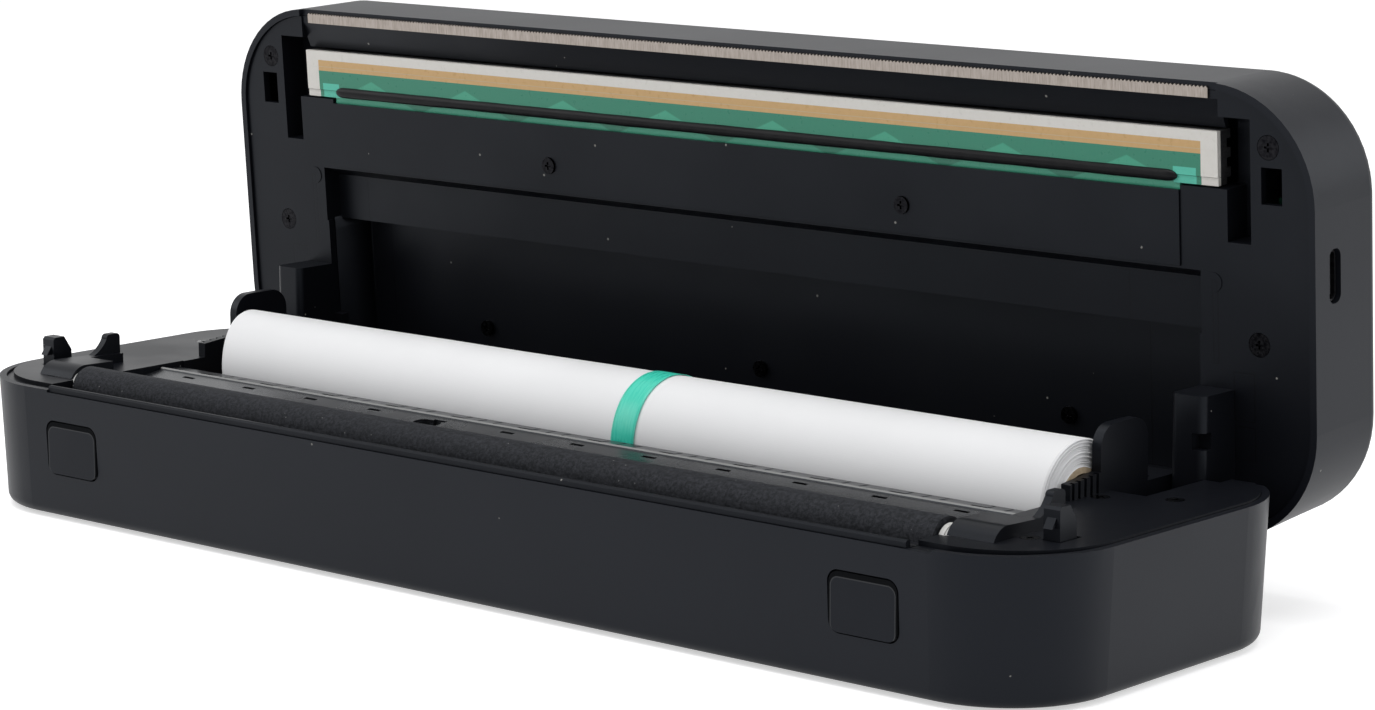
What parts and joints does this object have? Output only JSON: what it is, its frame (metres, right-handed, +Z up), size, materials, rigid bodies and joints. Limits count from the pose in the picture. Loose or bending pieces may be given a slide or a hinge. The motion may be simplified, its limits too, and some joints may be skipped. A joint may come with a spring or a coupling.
{
  "type": "a4 portable thermal printer",
  "caption": "Slim rounded battery thermal printer with a hinged paper lid standing open over a roll bin, rubber platen, floating print head, side latches and release keys.",
  "frame": {"origin": "centre of the open printer's outline, on the plane the rubber feet stand on", "axes": "+X along the printer to its right end, seen from the front; +Y from the front edge to the hinge; +Z up"},
  "size_m": [0.2672, 0.103, 0.0954],
  "materials": {
    "case": "fine textured matte",
    "inner_plastic": "matte moulded",
    "glossy_plastic": "semi-gloss moulded",
    "keys": "satin",
    "feet": "matte",
    "platen_rubber": "ground matte",
    "steel": "satin",
    "fasteners": "blackened",
    "spring_wire": "bright",
    "bush": "satin",
    "gears": "satin",
    "pinion": "satin",
    "ceramic": "satin",
    "circuit_board": "solder-resist satin",
    "resin": "satin",
    "heatsink": "mill finish",
    "connector": "plated satin",
    "lens": "translucent satin",
    "battery": "shrink-wrap satin",
    "paper": "smooth coated",
    "card": "matte",
    "tape": "translucent satin"
  },
  "bodies": {
    "base": {"base_shell": "case", "base_deck": "inner_plastic", "base_screws": "fasteners", "rubber_feet": "feet", "front_lip": "glossy_plastic", "paper_guide": "glossy_plastic", "paper_sensor": "glossy_plastic", "battery_pack": "battery", "platen_bush_left": "bush", "platen_bush_right": "bush", "bearing_cap_left": "inner_plastic", "bearing_cap_right": "inner_plastic", "motor_bracket": "steel", "drive_motor": "steel", "idler_pin": "steel", "roll_holder_left": "inner_plastic", "roll_holder_right": "inner_plastic", "hinge_pin_left": "steel", "hinge_pin_right": "steel"},
    "lid": {"lid_shell": "case", "lid_frame": "inner_plastic", "lid_screws": "fasteners", "trough_screws": "fasteners", "cover_screws": "fasteners", "head_cover": "inner_plastic", "tear_blade": "steel", "hinge_block_left": "inner_plastic", "hinge_block_right": "inner_plastic", "hinge_arm_left": "steel", "hinge_arm_right": "steel", "mainboard": "circuit_board", "usb_connector": "connector", "indicator_lens": "lens"},
    "head": {"head_heatsink": "heatsink", "head_ceramic": "ceramic", "head_board": "circuit_board", "head_resin": "resin", "head_springs": "spring_wire"},
    "power_button": {"power_button": "keys"},
    "platen": {"platen_shaft": "steel", "platen_rubber": "platen_rubber", "platen_gear": "gears"},
    "idler": {"idler_gear": "gears"},
    "motor_rotor": {"motor_pinion": "pinion"},
    "roll_core": {"roll_core": "card"},
    "paper_roll": {"paper_roll": "paper", "sealing_tape": "tape"},
    "release_left": {"release_button_left": "keys", "latch_slide_left": "inner_plastic", "release_spring_left": "spring_wire"},
    "release_right": {"release_button_right": "keys", "latch_slide_right": "inner_plastic", "release_spring_right": "spring_wire"}
  },
  "joints": [
    {"name": "lid_hinge", "type": "hinge", "parent": "base", "child": "lid", "pos_m": [0, 0.02461, 0.0203], "axis": [1, 0, 0], "range_deg": [0, 86.5]},
    {"name": "head_float", "type": "slide", "parent": "lid", "child": "head", "axis": [0, 0.9981, 0.061], "range_m": [0, 0.002]},
    {"name": "power_key", "type": "slide", "parent": "lid", "child": "power_button", "axis": [0, -0.9981, -0.061], "range_m": [0, 0.0006], "stiffness_N_per_m": 1500, "springref_m": -0.0005},
    {"name": "release_left_press", "type": "slide", "parent": "base", "child": "release_left", "axis": [0, 1, 0], "range_m": [0, 0.0009], "stiffness_N_per_m": 900, "springref_m": -0.002},
    {"name": "release_right_press", "type": "slide", "parent": "base", "child": "release_right", "axis": [0, 1, 0], "range_m": [0, 0.0009], "stiffness_N_per_m": 900, "springref_m": -0.002},
    {"name": "roll_shift", "type": "slide", "parent": "base", "child": "roll_core", "axis": [0, 1, 0], "range_m": [0, 0.0072]},
    {"name": "paper_spin", "type": "hinge", "parent": "roll_core", "child": "paper_roll", "pos_m": [0, -0.00179, 0.0246], "axis": [1, 0, 0], "continuous": true},
    {"name": "platen_spin", "type": "hinge", "parent": "base", "child": "platen", "pos_m": [0, -0.03929, 0.0246], "axis": [1, 0, 0], "continuous": true},
    {"name": "idler_spin", "type": "hinge", "parent": "base", "child": "idler", "pos_m": [-0.1146, -0.03571, 0.0168], "axis": [1, 0, 0], "continuous": true},
    {"name": "motor_spin", "type": "hinge", "parent": "base", "child": "motor_rotor", "pos_m": [-0.1146, -0.02767, 0.0138], "axis": [1, 0, 0], "continuous": true}
  ],
  "couplings": [
    {"joint": "head_float", "follows": "lid_hinge", "m_per_rad": 0.0013247},
    {"joint": "roll_shift", "follows": "lid_hinge", "m_per_rad": 0.0047691},
    {"joint": "idler_spin", "follows": "platen_spin", "ratio": -0.41667},
    {"joint": "motor_spin", "follows": "platen_spin", "ratio": 1}
  ]
}
